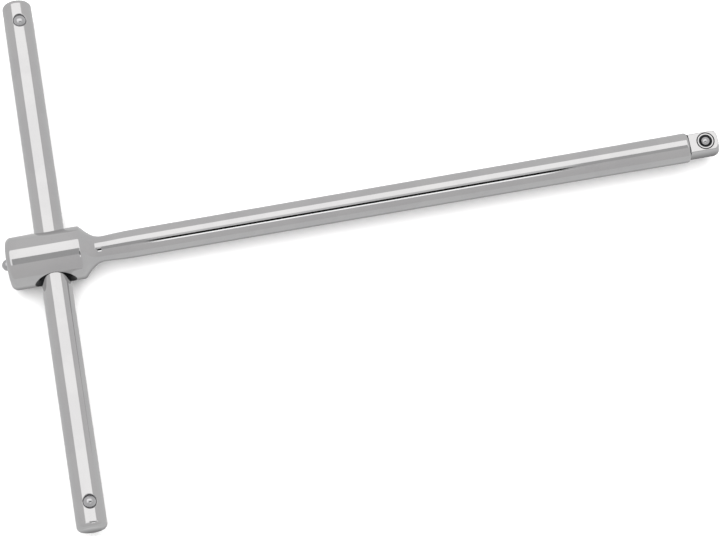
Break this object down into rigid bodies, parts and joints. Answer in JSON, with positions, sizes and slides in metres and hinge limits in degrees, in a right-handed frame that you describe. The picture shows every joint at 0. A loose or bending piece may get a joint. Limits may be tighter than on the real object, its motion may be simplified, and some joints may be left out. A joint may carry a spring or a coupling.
{
  "type": "sliding t-handle wrench",
  "caption": "Chrome-plated T-handle driver: long round shank with a male drive square and sprung ball, and a round cross bar that slides through its hub.",
  "frame": {"origin": "centre of the end face of the drive square", "axes": "+X out of the drive square along the shank, +Y along the cross bar, +Z towards the side that the drive ball looks out of; the tool lies flat in the XY plane"},
  "size_m": [0.3417, 0.2658, 0.025],
  "materials": {
    "polished_chrome": "mirror-polished chrome plate",
    "bearing_steel": "ground and polished hardened steel",
    "spring_steel": "drawn, lightly oiled"
  },
  "bodies": {
    "shank": {"shank": "polished_chrome", "hub_plug": "bearing_steel", "drive_detent_spring": "spring_steel", "hub_friction_spring": "spring_steel"},
    "t_bar": {"t_bar": "polished_chrome", "upper_detent_spring": "spring_steel", "lower_detent_spring": "spring_steel"},
    "drive_ball": {"drive_detent_ball": "bearing_steel"},
    "friction_ball": {"hub_friction_ball": "bearing_steel"},
    "upper_ball": {"upper_detent_ball": "bearing_steel"},
    "lower_ball": {"lower_detent_ball": "bearing_steel"}
  },
  "joints": [
    {"name": "bar_slide", "type": "slide", "parent": "shank", "child": "t_bar", "axis": [0, 1, 0], "range_m": [-0.108, 0.108]},
    {"name": "drive_ball_press", "type": "slide", "parent": "shank", "child": "drive_ball", "axis": [0, 0, -1], "range_m": [0, 0.00125], "stiffness_N_per_m": 1000, "springref_m": -0.002, "deforming": ["drive_detent_spring"]},
    {"name": "friction_ball_press", "type": "slide", "parent": "shank", "child": "friction_ball", "axis": [-1, 0, 0], "range_m": [0, 0.0005], "stiffness_N_per_m": 2000, "springref_m": -0.002, "deforming": ["hub_friction_spring"]},
    {"name": "upper_ball_press", "type": "slide", "parent": "t_bar", "child": "upper_ball", "axis": [-0.1736, 0, -0.9848], "range_m": [0, 0.0012], "stiffness_N_per_m": 1000, "springref_m": -0.002, "deforming": ["upper_detent_spring"]},
    {"name": "lower_ball_press", "type": "slide", "parent": "t_bar", "child": "lower_ball", "axis": [-0.1736, 0, -0.9848], "range_m": [0, 0.0012], "stiffness_N_per_m": 1000, "springref_m": -0.002, "deforming": ["lower_detent_spring"]}
  ]
}
